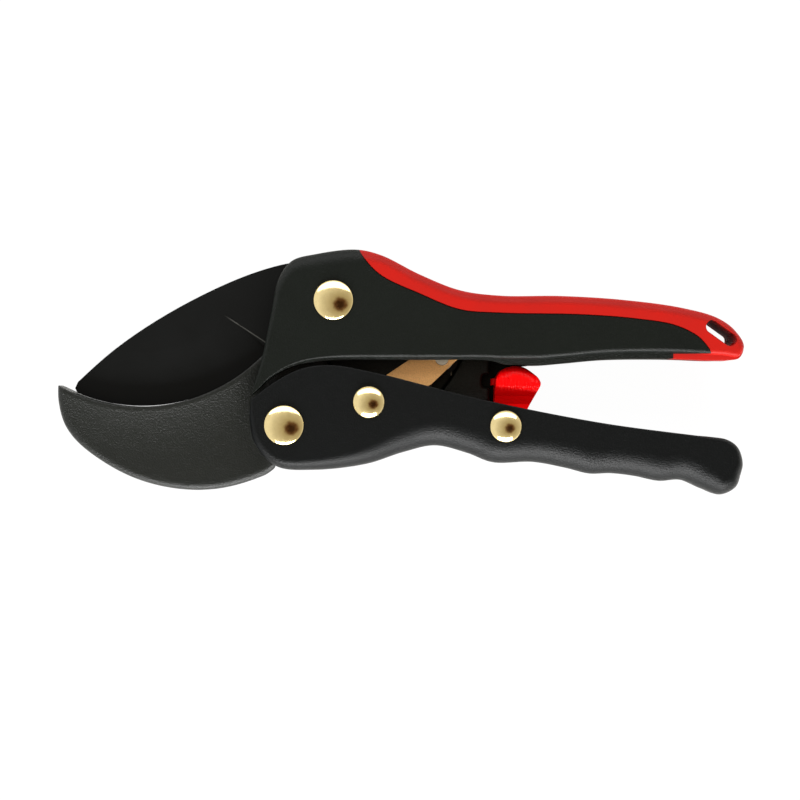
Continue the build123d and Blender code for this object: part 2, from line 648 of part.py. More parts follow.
make_rings(
    "latch_washers", [LATCH_PIVOT], LATCH_BOSS - 2 * WASHER_THICKNESS, SMALL_SHANK + RUN_CLEARANCE,
    washer_bottoms, WASHER_THICKNESS,
)

# Springs

lift = BLADE_SPRING_THICKNESS / 2 + SEAT_GAP
leg_angle = bearing(tail_top[1], tail_top[0])
leg_seat = polar(tail_top[1], lift, leg_angle - 90)
upper_leg = shift(tang_bar, 0, -TANG_BAR_HEIGHT - 2 * BLADE_SPRING_THICKNESS)
leaf_points = [polar(leg_seat, BLADE_SPRING_REACH, leg_angle), leg_seat, upper_leg[2], upper_leg[1]]
with BuildPart() as blade_spring:
    with BuildLine(Plane.XY.offset((PLATE_FRONT + MID + FORK_HALF) / 2)) as leaf:
        FilletPolyline(*leaf_points, radius=BLADE_SPRING_BEND)
    with BuildSketch(Plane(origin=leaf.wire() @ 0, x_dir=(0, 0, 1), z_dir=leaf.wire() % 0)):
        Rectangle(MID + FORK_HALF - PLATE_FRONT - 2 * BLADE_SPRING_SIDE_GAP, BLADE_SPRING_THICKNESS)
    sweep(path=leaf.wire())
blade_spring.part.label = "blade_spring"
export_step(blade_spring.part, "parts/blade_spring.step")

coil_top = BLADE_REAR - LINK_SPRING_WIRE / 2 - LINK_SPRING_GAP
coil_plane = Plane(
    origin=(LINK_PIVOT[0], LINK_PIVOT[1], coil_top - LINK_SPRING_TURNS * LINK_SPRING_PITCH),
    x_dir=(
        cos(radians(bearing(BLADE_PIVOT, LINK_PIVOT))),
        sin(radians(bearing(BLADE_PIVOT, LINK_PIVOT))),
        0,
    ),
    z_dir=(0, 0, 1),
)
with BuildPart() as link_spring:
    with BuildLine(coil_plane) as wire:
        coil = Helix(LINK_SPRING_PITCH, LINK_SPRING_TURNS * LINK_SPRING_PITCH, LINK_SPRING_RADIUS)
        Line((coil @ 0) - (coil % 0) * LINK_SPRING_LEG, coil @ 0)
        Line(coil @ 1, (coil @ 1) + (coil % 1) * LINK_SPRING_LEG)
    with BuildSketch(Plane(origin=wire.wire() @ 0, z_dir=wire.wire() % 0)):
        Circle(LINK_SPRING_WIRE / 2)
    sweep(path=wire.wire(), is_frenet=True)
link_spring.part.label = "link_spring"
export_step(link_spring.part, "parts/link_spring.step")
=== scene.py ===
import json
from math import cos, hypot, pi, radians, sin, sqrt

import bmesh
import bpy
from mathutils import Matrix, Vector
from mathutils.kdtree import KDTree


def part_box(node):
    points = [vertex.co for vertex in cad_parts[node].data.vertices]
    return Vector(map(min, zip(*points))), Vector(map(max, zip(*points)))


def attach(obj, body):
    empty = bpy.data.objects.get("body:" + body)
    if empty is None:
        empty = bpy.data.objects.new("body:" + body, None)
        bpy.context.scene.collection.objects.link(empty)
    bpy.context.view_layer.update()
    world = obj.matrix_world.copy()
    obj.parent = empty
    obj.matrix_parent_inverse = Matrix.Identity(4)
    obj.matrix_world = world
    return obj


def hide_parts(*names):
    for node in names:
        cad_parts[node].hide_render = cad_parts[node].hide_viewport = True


bl_info = {
    "name": "Ratchet pruning shears",
    "version": (1, 0, 0),
    "blender": (4, 5, 0),
    "location": "View3D > Sidebar > Shears",
    "description": "Moulded handles, coated metal and a plain stage for the pruning shears",
    "category": "Object",
}

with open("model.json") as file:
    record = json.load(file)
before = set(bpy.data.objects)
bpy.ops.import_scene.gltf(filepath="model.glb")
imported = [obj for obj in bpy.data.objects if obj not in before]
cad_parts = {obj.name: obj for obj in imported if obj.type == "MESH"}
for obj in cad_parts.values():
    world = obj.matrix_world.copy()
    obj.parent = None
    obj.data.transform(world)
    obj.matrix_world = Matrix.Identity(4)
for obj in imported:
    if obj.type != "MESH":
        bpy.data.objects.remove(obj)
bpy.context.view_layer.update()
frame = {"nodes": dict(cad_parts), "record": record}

MM = 0.001
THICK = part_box("upper_handle")[1].z / MM
MID = THICK / 2

# Outlines in millimetres. A station is x, y, the width and the height of the edge's rounding,
# and the ledge below it.
UPPER_BLANK = [
    (-44.2, -6.9, 0.03, 0.03, 0.0), (-43.1, -3.0, 0.5, 0.5, 0.0), (-41.2, 4.0, 1.2, 1.2, 0.0),
    (-38.4, 18.0, 1.6, 1.8, 0.0), (-36.4, 27.6, 2.6, 2.4, 0.0), (-32.4, 33.2, 4.0, 2.8, 0.0),
    (-25.0, 35.3, 4.6, 2.8, 0.0), (-13.0, 36.6, 4.2, 2.8, 0.0), (-5.6, 34.9, 3.0, 2.6, 0.0),
    (6.0, 29.1, 3.0, 2.4, 0.0), (18.0, 24.4, 3.0, 2.4, 0.0), (30.0, 22.8, 3.0, 2.4, 0.0),
    (48.0, 22.7, 3.0, 2.4, 0.0), (66.0, 21.6, 3.0, 2.4, 0.0), (84.0, 19.2, 3.0, 2.4, 0.0),
    (95.0, 16.1, 2.8, 2.6, 0.0), (100.2, 12.3, 2.6, 2.6, 0.0), (102.8, 7.6, 2.4, 2.6, 0.0),
    (101.2, 4.1, 1.6, 1.8, 0.5), (96.0, 3.55, 1.5, 1.5, 1.4), (80.0, 4.0, 1.6, 1.6, 1.7),
    (62.0, 3.8, 1.6, 1.6, 1.7), (50.0, 2.75, 1.6, 1.6, 1.7), (42.0, 2.1, 1.6, 1.6, 1.7),
    (36.0, 2.15, 1.6, 1.6, 1.6), (31.0, 2.3, 1.5, 1.5, 1.5), (28.4, 3.1, 1.3, 1.3, 0.9),
    (25.0, 3.6, 1.3, 1.3, 0.5), (8.0, 3.6, 1.3, 1.3, 0.5),
    (-16.5, 3.6, 1.1, 1.1, 0.5), (-25.0, 3.0, 0.6, 0.6, 0.8), (-32.0, 1.7, 0.45, 0.45, 0.4),
    (-38.7, -1.8, 0.35, 0.35, 0.1), (-42.3, -5.2, 0.2, 0.2, 0.0), (-44.2, -6.9, 0.03, 0.03, 0.0),
]
LOWER_BLANK = [
    (-44.3, -8.1, 0.4, 0.4, 0.0), (-36.0, -2.2, 0.4, 0.4, 0.0), (-28.5, 1.2, 0.4, 0.4, 0.0),
    (-20.5, 2.0, 0.4, 0.4, 0.0), (-9.0, 0.1, 0.4, 0.4, 0.0), (24.0, -8.1, 0.4, 0.4, 0.0),
    (60.0, -15.2, 0.4, 0.4, 0.0), (90.0, -19.2, 0.6, 0.6, 0.0), (97.5, -20.2, 1.2, 1.4, 0.0),
    (101.0, -22.6, 2.0, 2.6, 0.0), (102.8, -27.3, 3.0, 4.6, 0.0), (102.5, -30.6, 3.8, 6.4, 0.0),
    (100.9, -34.7, 4.3, 6.4, 0.0), (96.3, -36.9, 4.8, 6.6, 0.0), (91.4, -35.3, 6.2, 6.8, 0.0),
    (84.5, -32.5, 7.6, 6.8, 0.0), (78.0, -32.8, 7.8, 6.8, 0.0), (70.5, -31.3, 7.8, 6.8, 0.0),
    (63.5, -30.5, 7.8, 6.8, 0.0), (57.0, -30.6, 7.8, 6.8, 0.0), (50.0, -28.9, 7.8, 6.8, 0.0),
    (40.0, -27.1, 7.6, 6.8, 0.0), (28.0, -27.2, 7.2, 6.8, 0.0), (20.0, -24.3, 7.4, 6.8, 0.0),
    (10.5, -22.1, 7.6, 6.8, 0.0), (1.0, -24.1, 6.8, 6.6, 0.0), (-10.0, -27.6, 5.2, 6.0, 0.0),
    (-26.0, -29.4, 3.6, 5.0, 0.0), (-37.0, -28.3, 3.0, 4.0, 0.0), (-43.3, -21.8, 2.4, 3.0, 0.0),
    (-44.9, -14.0, 1.6, 2.0, 0.0), (-44.3, -8.1, 0.4, 0.4, 0.0),
]
GRIP_EDGE = [
    (-12.6, 38.0), (-11.4, 35.0), (-6.0, 29.0), (6.0, 23.2), (18.0, 18.5), (30.0, 17.5), (54.0, 17.0),
    (70.0, 15.8), (82.0, 13.8), (89.0, 10.3), (92.6, 6.2),
]
GRIP_REST = [(92.6, 5.4), (81.6, 5.4), (81.6, -20.0), (190.0, -20.0), (190.0, 38.0)]
FORK_ROOF = [(-12.9, 31.6), (-5.0, 26.5), (6.0, 21.0), (18.0, 16.4), (27.0, 15.4), (38.0, 15.4)]
FORK_REST = [(38.0, -32.0), (-93.0, -32.0), (-93.0, 63.0), (-12.9, 63.0)]
FORK_HALF = 4.5
REAR_WEB = [
    (20.0, 8.0), (20.0, -7.0), (24.0, -8.0), (28.0, -8.86), (31.5, -9.56), (31.5, 0.0), (34.5, 0.4),
    (37.0, 1.9), (39.0, 2.0), (39.0, 8.0),
]
WEB_SPAN = (0.05, 2.2)
CHANNEL_FLOOR = [
    (-26.7, -26.0), (-10.0, -24.0), (1.0, -20.8), (10.5, -18.9), (20.0, -21.0), (28.0, -23.8), (44.0, -24.0),
]
CHANNEL_REST = [(44.0, 18.0), (-94.0, 18.0), (-94.0, -52.0), (-26.7, -52.0)]
CHANNEL_HALF = 4.8
LATCH_BLANK = [
    (26.3, -16.2, 0.4, 0.4, 0.0), (27.2, -12.6, 0.4, 0.4, 0.0), (28.3, -9.6, 0.5, 0.5, 0.0),
    (28.6, -5.0, 0.6, 0.6, 0.0), (29.0, -1.6, 1.6, 1.2, 0.0), (30.6, 0.6, 3.9, 2.6, 0.0),
    (33.0, 1.65, 5.4, 3.0, 0.0), (35.0, 1.9, 5.9, 3.0, 0.0), (37.4, 1.35, 5.6, 3.0, 0.0),
    (39.8, -0.2, 4.4, 2.6, 0.0), (41.6, -1.9, 2.4, 1.6, 0.0), (42.2, -3.6, 1.0, 0.9, 0.0),
    (41.2, -5.8, 0.6, 0.6, 0.0), (38.4, -11.1, 0.5, 0.5, 0.0), (36.9, -14.5, 0.4, 0.4, 0.0),
    (36.7, -16.2, 0.4, 0.4, 0.0), (35.2, -19.9, 0.4, 0.4, 0.0), (31.5, -21.4, 0.4, 0.4, 0.0),
    (27.8, -19.9, 0.4, 0.4, 0.0), (26.3, -16.2, 0.4, 0.4, 0.0),
]
LATCH_NOSE = [(27.65, -3.9), (27.65, -1.95), (31.8, -1.3), (31.8, -3.9)]
NOSE_SPAN = (4.8, 7.2)
LATCH_STEP = 0.2
LATCH_REAR = 2.6
# The latch's half thickness at a height y, and the cutter's reach to either side and below
LATCH_SLOPE = [(-9.6, 3.5), (-7.2, 4.5), (-5.6, 5.6), (-3.2, 7.0)]
SLOPE_LEFT, SLOPE_RIGHT, SLOPE_BOTTOM = 20.0, 50.0, -30.0
# Ribs lie where the rounding is wide, and on the pad down to the line where it slopes away
RIB_FROM, RIB_FADE = 2.0, 1.5
PAD_RIBS = (-5.6, -4.9)
SLOT_CENTRE = (95.7, 11.6)
SLOT_TURN = radians(-35.5)
# The line on the blade where its grind ends
GRIND_END = [(-53.1, 17.2), (-38.0, 7.3)]
# The jaw's lip is an arc. Left of JAW_FREE the jaw stands clear of the handles and is shaped further.
LIP_CENTRE, LIP_RADIUS = (-78.0, 40.65), 51.0
JAW_VOXEL, UNDERSIDE_FROM = 0.37, 4.0
JAW_FREE, JAW_FADE = -37.0, 4.0
JAW_SPREAD, SPREAD_FROM, SPREAD_RUN = 0.9, 2.0, 7.0
JAW_FALL, FALL_FROM, FALL_RUN = 1.0, -75.0, 30.0
FALL_REAR, FALL_DEPTH = -0.4, 2.0
LARGE_RIVETS = {"blade_pivot_rivet": (-19.8, 21.3), "handle_pivot_rivet": (-34.5, -15.9)}
SMALL_RIVETS = {"ratchet_pin_rivet": (-9.3, -9.0), "latch_pivot_rivet": (31.5, -16.2)}
# Radii of a rivet's shank, head and tail, and of its bore and seat in a handle
LARGE_TURNED, LARGE_BORE, LARGE_SEAT = (3.0, 5.9, 4.2), 3.1, 5.2
SMALL_TURNED, SMALL_BORE, SMALL_SEAT = (2.0, 4.75, 3.2), 2.1, 4.2
LATCH_BORE, SEAT_DEPTH = 2.05, 1.7
# Heights of a rivet's head above the handle, and of its tail above the rear
HEAD_SEAT, HEAD_RIM, HEAD_CROWN = 0.02, 0.52, 2.22
TAIL_BOTTOM, TAIL_TOP, TAIL_CHAMFER = 0.2, 1.2, 0.3
DOME_STEPS, SPIN_STEPS = 14, 72
# A cutter runs this far past the faces
PAST = 1.0
# The rings of an edge stay this far apart, and a ledge falls by one part in LEDGE_RUN
RING_GAP, LEDGE_RUN = 0.02, 5
UPPER_ROUND_STEPS, LOWER_ROUND_STEPS, LATCH_ROUND_STEPS = 11, 10, 14
# Stage, in metres: what the camera is centred on, its sensor in millimetres, and the floor
CAMERA_CENTRE, SENSOR = (0.0, -0.0084, 0.014), 36.0
FLOOR_SIZE, FLOOR_DROP = 6.0, 0.0002


def linear(code):
    """The linear RGBA of an sRGB hex colour."""
    parts = [int(code[i:i + 2], 16) / 255 for i in (1, 3, 5)]
    return tuple(p / 12.92 if p <= 0.04045 else ((p + 0.055) / 1.055) ** 2.4 for p in parts) + (1.0,)


def colour(name, description, code):
    """A colour that the user can change."""
    return bpy.props.FloatVectorProperty(
        name=name, description=description, subtype="COLOR", size=4, min=0.0, max=1.0, default=linear(code)
    )


def length(name, description, millimetres):
    """A length that the user can change."""
    return bpy.props.FloatProperty(
        name=name, description=description, subtype="DISTANCE", unit="LENGTH",
        default=millimetres * MM, precision=5,
    )


class ShearsColours(bpy.types.PropertyGroup):
    """Colours of the finishes."""

    casting: colour("Jaw coating", "Dark textured coating of the cast jaw", "#0D100D")
    nylon: colour("Upper handle", "Black moulded nylon", "#0B0F0C")
    lower: colour("Lower handle", "Blacker moulded nylon", "#050708")
    grip: colour("Grip", "Red moulded grip", "#A6160F")
    latch: colour("Latch", "Glossy red latch", "#FF0508")
    blade: colour("Blade coating", "Black non-stick coating", "#0A0B0B")
    # A painted highlight: the colour of the pale line where the blade's grind ends
    grind_glint: colour("Glinting coating", "Coating rubbed thin along the end of the grind", "#42423F")
    nickel: colour("Rivets", "Pale polished rivets", "#F3DDA2")
    bronze: colour("Ratchet link", "Bronze link", "#FFBE7A")
    steel: colour("Steel", "Bright steel washers and pin", "#F2EBDD")
    floor: colour("Floor", "Pale floor", "#F4F4F3")


class ShearsSizes(bpy.types.PropertyGroup):
    """Sizes of the moulded detail."""

    outline_step: length("Outline step", "Spacing of the points along an outline", 0.6)
    groove_width: length("Groove width", "Width of the groove between grip and handle", 0.3)
    groove_depth: length("Groove depth", "Depth of the groove between grip and handle", 0.5)
    slot_length: length("Slot length", "Length of the hang slot", 10.4)
    slot_width: length("Slot width", "Width of the hang slot", 4.0)
    slot_round: length("Slot round", "Rounding of the slot's rims", 0.35)
    rib_pitch: length("Rib pitch", "Spacing of the latch's ribs", 1.15)
    rib_depth: length("Rib depth", "Depth between the latch's ribs", 0.28)
    camera_height: length("Camera height", "Camera above the handles", 450.0)
    frame_width: length("Frame width", "Width that the camera sees at the handles", 240.0)


def add_node(tree, kind, inputs=(), **settings):
    """A node with its settings. An input takes a value, or the socket that it is linked from."""
    node = tree.nodes.new(kind)
    for key, value in settings.items():
        setattr(node, key, value)
    for key, value in dict(inputs).items():
        if isinstance(value, bpy.types.NodeSocket):
            tree.links.new(value, node.inputs[key])
        else:
            node.inputs[key].default_value = value
    return node


def new_material(name):
    """A material with its tree, its shader and the object's own coordinates."""
    material = bpy.data.materials.new(name)
    material.use_nodes = True
    tree = material.node_tree
    shader = tree.nodes["Principled BSDF"]
    place = add_node(tree, "ShaderNodeTexCoord").outputs["Object"]
    return material, tree, shader, place


def coat(tree, shader, hue, bump, dull=None):
    """Links a colour, a bump and, where it varies, a roughness to the shader."""
    tree.links.new(hue.outputs[2], shader.inputs["Base Color"])
    tree.links.new(bump.outputs[0], shader.inputs["Normal"])
    if dull is not None:
        tree.links.new(dull.outputs[0], shader.inputs["Roughness"])


def per_metre(millimetres):
    """The pattern scale that makes its lumps about that size."""
    return 1.0 / (millimetres * MM)


def shade(base, factor):
    """A colour made lighter or darker."""
    return tuple(min(1.0, channel * factor) for channel in base[:3]) + (1.0,)


# Die-cast aluminium under a wrinkle coat: a dull grain that shows as speckle.
# The grain is drawn coarser than the real one, so that it shows.
def wrinkle_coat(base):
    material, tree, shader, place = new_material("wrinkle_coated_casting")
    lumps = add_node(tree, "ShaderNodeTexNoise", {
        "Vector": place, "Scale": per_metre(0.5), "Detail": 3.0, "Roughness": 0.6}).outputs[0]
    high = add_node(tree, "ShaderNodeMapRange", {
        "Value": lumps, "From Min": 0.35, "From Max": 0.7}).outputs[0]
    hue = add_node(tree, "ShaderNodeMix", {
        0: high, 6: shade(base, 0.7), 7: shade(base, 1.5)}, data_type="RGBA")
    dull = add_node(tree, "ShaderNodeMapRange", {
        "Value": lumps, "From Min": 0.3, "From Max": 0.7, "To Min": 0.44, "To Max": 0.34})
    bump = add_node(tree, "ShaderNodeBump", {"Height": lumps, "Distance": 0.2 * MM})
    coat(tree, shader, hue, bump, dull)
    shader.inputs["Specular IOR Level"].default_value = 0.33
    return material


# Glass-filled nylon from a spark-eroded mould: black, with an even tooth.
# The tooth is drawn coarser than the real one, so that it shows.
def moulded_nylon(base):
    material, tree, shader, place = new_material("moulded_nylon")
    tooth = add_node(tree, "ShaderNodeTexNoise", {
        "Vector": place, "Scale": per_metre(0.5), "Detail": 2.0, "Roughness": 0.6}).outputs[0]
    cloud = add_node(tree, "ShaderNodeTexNoise", {"Vector": place, "Scale": per_metre(14.0)}).outputs[0]
    hue = add_node(tree, "ShaderNodeMix", {
        0: cloud, 6: shade(base, 0.8), 7: shade(base, 1.2)}, data_type="RGBA")
    dull = add_node(tree, "ShaderNodeMapRange", {
        "Value": tooth, "From Min": 0.3, "From Max": 0.7, "To Min": 0.46, "To Max": 0.37})
    bump = add_node(tree, "ShaderNodeBump", {"Height": tooth, "Distance": 0.16 * MM})
    coat(tree, shader, hue, bump, dull)
    shader.inputs["Specular IOR Level"].default_value = 0.165
    return material


# Red thermoplastic rubber over the handle: smooth, dull, with a faint bloom.
# Its tooth is drawn coarser than the real one, so that it shows.
def rubber_grip(base):
    material, tree, shader, place = new_material("red_rubber_grip")
    bloom = add_node(tree, "ShaderNodeTexNoise", {
        "Vector": place, "Scale": per_metre(9.0), "Detail": 3.0}).outputs[0]
    tooth = add_node(tree, "ShaderNodeTexNoise", {"Vector": place, "Scale": per_metre(0.5)}).outputs[0]
    hue = add_node(tree, "ShaderNodeMix", {
        0: bloom, 6: shade(base, 0.9), 7: shade(base, 1.1)}, data_type="RGBA")
    dull = add_node(tree, "ShaderNodeMapRange", {
        "Value": bloom, "From Min": 0.3, "From Max": 0.7, "To Min": 0.52, "To Max": 0.42})
    bump = add_node(tree, "ShaderNodeBump", {"Height": tooth, "Distance": 0.02 * MM})
    coat(tree, shader, hue, bump, dull)
    shader.inputs["Specular IOR Level"].default_value = 0.12
    return material


# Acetal from a polished mould: a bright gloss with a slight ripple
def glossy_acetal(base):
    material, tree, shader, place = new_material("glossy_red_acetal")
    ripple = add_node(tree, "ShaderNodeTexNoise", {"Vector": place, "Scale": per_metre(3.0)}).outputs[0]
    hue = add_node(tree, "ShaderNodeMix", {
        0: ripple, 6: shade(base, 0.9), 7: shade(base, 1.08)}, data_type="RGBA")
    dull = add_node(tree, "ShaderNodeMapRange", {
        "Value": ripple, "From Min": 0.3, "From Max": 0.7, "To Min": 0.26, "To Max": 0.18})
    bump = add_node(tree, "ShaderNodeBump", {"Height": ripple, "Distance": 0.03 * MM})
    # The ribs of the crown run on down the pad's faces
    axes = add_node(tree, "ShaderNodeSeparateXYZ", {0: place})
    turns = 2 * pi / bpy.context.scene.shears_sizes.rib_pitch
    phase = add_node(tree, "ShaderNodeMath", {0: axes.outputs["X"], 1: turns}, operation="MULTIPLY")
    wave = add_node(tree, "ShaderNodeMath", {0: phase.outputs[0]}, operation="COSINE")
    pad = add_node(tree, "ShaderNodeMapRange", {
        "Value": axes.outputs["Y"], "From Min": PAD_RIBS[0] * MM, "From Max": PAD_RIBS[1] * MM})
    ribs = add_node(tree, "ShaderNodeMath", {0: wave.outputs[0], 1: pad.outputs[0]}, operation="MULTIPLY")
    ribbed = add_node(tree, "ShaderNodeBump", {
        "Height": ribs.outputs[0], "Distance": 0.12 * MM, "Normal": bump.outputs[0]})
    coat(tree, shader, hue, ribbed, dull)
    shader.inputs["Specular IOR Level"].default_value = 0.07
    return material


# Carbon steel with a fluoropolymer coat: satin black with a few specks,
# and a painted highlight: a thin pale line along the end of the grind
def coated_blade(base, grind_glint):
    material, tree, shader, place = new_material("coated_blade_steel")
    start, end = (Vector((x, y, 0)) * MM for x, y in GRIND_END)
    along = (end - start).normalized()
    run = add_node(tree, "ShaderNodeVectorMath", {0: place, 1: start}, operation="SUBTRACT").outputs[0]
    ahead = add_node(tree, "ShaderNodeVectorMath", {
        0: run, 1: along}, operation="DOT_PRODUCT").outputs["Value"]
    aside = add_node(tree, "ShaderNodeVectorMath", {
        0: run, 1: (-along.y, along.x, 0)}, operation="DOT_PRODUCT")
    away = add_node(tree, "ShaderNodeMath", {0: aside.outputs["Value"]}, operation="ABSOLUTE").outputs[0]
    thin = add_node(tree, "ShaderNodeMapRange", {
        "Value": away, "From Min": 0.06 * MM, "From Max": 0.24 * MM, "To Min": 1.0, "To Max": 0.0}).outputs[0]
    begun = add_node(tree, "ShaderNodeMapRange", {
        "Value": ahead, "From Min": 0.0, "From Max": 4.0 * MM}).outputs[0]
    # Painted highlight: the end of the grind is drawn as a thin pale line in the colour
    highlit = add_node(tree, "ShaderNodeMath", {0: thin, 1: begun}, operation="MULTIPLY").outputs[0]
    cloud = add_node(tree, "ShaderNodeTexNoise", {
        "Vector": place, "Scale": per_metre(11.0), "Detail": 4.0}).outputs[0]
    speck = add_node(tree, "ShaderNodeTexNoise", {"Vector": place, "Scale": per_metre(0.7)}).outputs[0]
    high = add_node(tree, "ShaderNodeMapRange", {
        "Value": speck, "From Min": 0.72, "From Max": 0.8}).outputs[0]
    black = add_node(tree, "ShaderNodeMix", {
        0: high, 6: tuple(base), 7: shade(base, 2.0)}, data_type="RGBA")
    hue = add_node(tree, "ShaderNodeMix", {
        0: highlit, 6: black.outputs[2], 7: tuple(grind_glint)}, data_type="RGBA")
    dull = add_node(tree, "ShaderNodeMapRange", {
        "Value": cloud, "From Min": 0.3, "From Max": 0.7, "To Min": 0.52, "To Max": 0.44})
    bump = add_node(tree, "ShaderNodeBump", {"Height": speck, "Distance": 0.02 * MM})
    shader.inputs["Specular IOR Level"].default_value = 0.12
    coat(tree, shader, hue, bump, dull)
    return material


# Nickel-plated brass, tumbled bright: a warm mirror with slight handling marks
def plated_rivet(base):
    material, tree, shader, place = new_material("plated_brass")
    marks = add_node(tree, "ShaderNodeTexNoise", {
        "Vector": place, "Scale": per_metre(1.6), "Detail": 4.0}).outputs[0]
    hue = add_node(tree, "ShaderNodeMix", {
        0: marks, 6: shade(base, 0.88), 7: shade(base, 1.08)}, data_type="RGBA")
    dull = add_node(tree, "ShaderNodeMapRange", {
        "Value": marks, "From Min": 0.3, "From Max": 0.75, "To Min": 0.07, "To Max": 0.16})
    bump = add_node(tree, "ShaderNodeBump", {"Height": marks, "Distance": 0.008 * MM})
    coat(tree, shader, hue, bump, dull)
    shader.inputs["Metallic"].default_value = 1.0
    return material


# Sintered bronze: warm tan, dull, with small pores.
# The pores are drawn coarser than the real ones, so that they show.
def sintered_bronze(base):
    material, tree, shader, place = new_material("sintered_bronze")
    pores = add_node(tree, "ShaderNodeTexNoise", {
        "Vector": place, "Scale": per_metre(0.3), "Detail": 3.0}).outputs[0]
    high = add_node(tree, "ShaderNodeMapRange", {
        "Value": pores, "From Min": 0.3, "From Max": 0.6}).outputs[0]
    hue = add_node(tree, "ShaderNodeMix", {
        0: high, 6: shade(base, 0.82), 7: shade(base, 1.06)}, data_type="RGBA")
    bump = add_node(tree, "ShaderNodeBump", {"Height": pores, "Distance": 0.02 * MM})
    coat(tree, shader, hue, bump)
    shader.inputs["Metallic"].default_value = 0.25
    shader.inputs["Roughness"].default_value = 0.48
    return material


# Bright drawn or turned steel: fine lines and a soft sheen
def turned_steel(base):
    material, tree, shader, place = new_material("turned_steel")
    lines = add_node(tree, "ShaderNodeTexNoise", {
        "Vector": place, "Scale": per_metre(0.6), "Detail": 3.0}).outputs[0]
    hue = add_node(tree, "ShaderNodeMix", {
        0: lines, 6: shade(base, 0.75), 7: tuple(base)}, data_type="RGBA")
    dull = add_node(tree, "ShaderNodeMapRange", {
        "Value": lines, "From Min": 0.3, "From Max": 0.7, "To Min": 0.36, "To Max": 0.5})
    bump = add_node(tree, "ShaderNodeBump", {"Height": lines, "Distance": 0.01 * MM})
    coat(tree, shader, hue, bump, dull)
    shader.inputs["Metallic"].default_value = 1.0
    return material


def finish_of(slot):
    """The material of one of the record's slots, made once."""
    colours = bpy.context.scene.shears_colours
    makers = {
        "coated_casting": (wrinkle_coat, colours.casting), "black_nylon": (moulded_nylon, colours.nylon),
        "blacker_nylon": (moulded_nylon, colours.lower), "red_grip": (rubber_grip, colours.grip),
        "red_latch": (glossy_acetal, colours.latch),
        "coated_blade": (coated_blade, colours.blade, colours.grind_glint),
        "nickel": (plated_rivet, colours.nickel), "bronze": (sintered_bronze, colours.bronze),
        "steel": (turned_steel, colours.steel), "spring_steel": (turned_steel, shade(colours.steel, 0.5)),
    }
    if slot not in finish_of.made:
        maker, *bases = makers[slot]
        finish_of.made[slot] = maker(*(tuple(base) for base in bases))
        finish_of.made[slot].name = slot + "_" + finish_of.made[slot].name
    return finish_of.made[slot]


finish_of.made = {}
NODE_BODY = {n: b for b, ns in frame["record"]["behaviour"]["bodies"].items() for n in ns}
NODE_SLOT = {s["node"]: s["material_slot"] for s in frame["record"]["subparts"]}


def select_only(piece):
    """Makes one object the only selected and the active one."""
    bpy.ops.object.select_all(action="DESELECT")
    piece.select_set(True)
    bpy.context.view_layer.objects.active = piece


def clamp(value, low=0.0, high=1.0):
    """The value, held between two limits."""
    return min(high, max(low, value))


def between(a, b, low, high, t):
    """The values of a at low and of b at high, taken at t."""
    return [((high - t) * u + (t - low) * v) / (high - low) for u, v in zip(a, b)]


def through(stations, step):
    """Points about every step millimetres on a smooth line through the stations, with their other values."""
    before = [2 * a - b for a, b in zip(stations[0], stations[1])]
    after = [2 * a - b for a, b in zip(stations[-1], stations[-2])]
    run = [before, *stations, after]
    points = []
    for p0, p1, p2, p3 in zip(run, run[1:], run[2:], run[3:]):
        t1 = sqrt(hypot(p1[0] - p0[0], p1[1] - p0[1]))
        t2 = t1 + sqrt(hypot(p2[0] - p1[0], p2[1] - p1[1]))
        t3 = t2 + sqrt(hypot(p3[0] - p2[0], p3[1] - p2[1]))
        count = max(2, round((t2 - t1) ** 2 / step))
        for i in range(count):
            t = t1 + (t2 - t1) * i / count
            first = between(p0, p1, 0, t1, t)
            second = between(p1, p2, t1, t2, t)
            third = between(p2, p3, t2, t3, t)
            left = between(first, second, 0, t2, t)
            right = between(second, third, t1, t3, t)
            points.append(tuple(between(left, right, t1, t2, t)))
    return points


def inward(points):
    """The unit direction into a closed outline at each of its points."""
    area = sum(a[0] * b[1] - b[0] * a[1] for a, b in zip(points, points[1:] + points[:1]))
    turn = 1 if area > 0 else -1
    directions = []
    for before, after in zip(points[-1:] + points[:-1], points[1:] + points[:1]):
        along = Vector((after[0] - before[0], after[1] - before[1])).normalized()
        directions.append(Vector((-along.y, along.x)) * turn)
    return directions


def flat_ring(points, z):
    """The points at one height, in metres."""
    return [Vector((p[0], p[1], z)) * MM for p in points]


def rounded_rings(points, thick, steps=6, sink=lambda x, width, turn: 0.0):
    """Rings from the rear face to the front one, with each station's ledge and rounding on both edges."""
    into = inward(points)
    turns = [pi / 2 * i / steps for i in range(steps + 1)]
    levels = [(turn, side) for side, order in ((-1, reversed(turns)), (1, turns)) for turn in order]
    rings = []
    for turn, side in levels:
        if side > 0 and turn == 0.0:
            for end in (-1, 1):
                ring = []
                for x, y, _, height, ledge in points:
                    level = end * (thick / 2 - height - RING_GAP - ledge / LEDGE_RUN)
                    ring.append(Vector((x, y, thick / 2 + level)) * MM)
                rings.append(ring)
        ring = []
        for (x, y, width, height, ledge), n in zip(points, into):
            inset = ledge + width * (1 - cos(turn))
            deep = sink(x + n.x * inset, width, turn)
            inset += deep * cos(turn)
            level = side * (thick / 2 - height * (1 - sin(turn)) - deep * sin(turn))
            ring.append(Vector((x + n.x * inset, y + n.y * inset, thick / 2 + level)) * MM)
        rings.append(ring)
    return rings


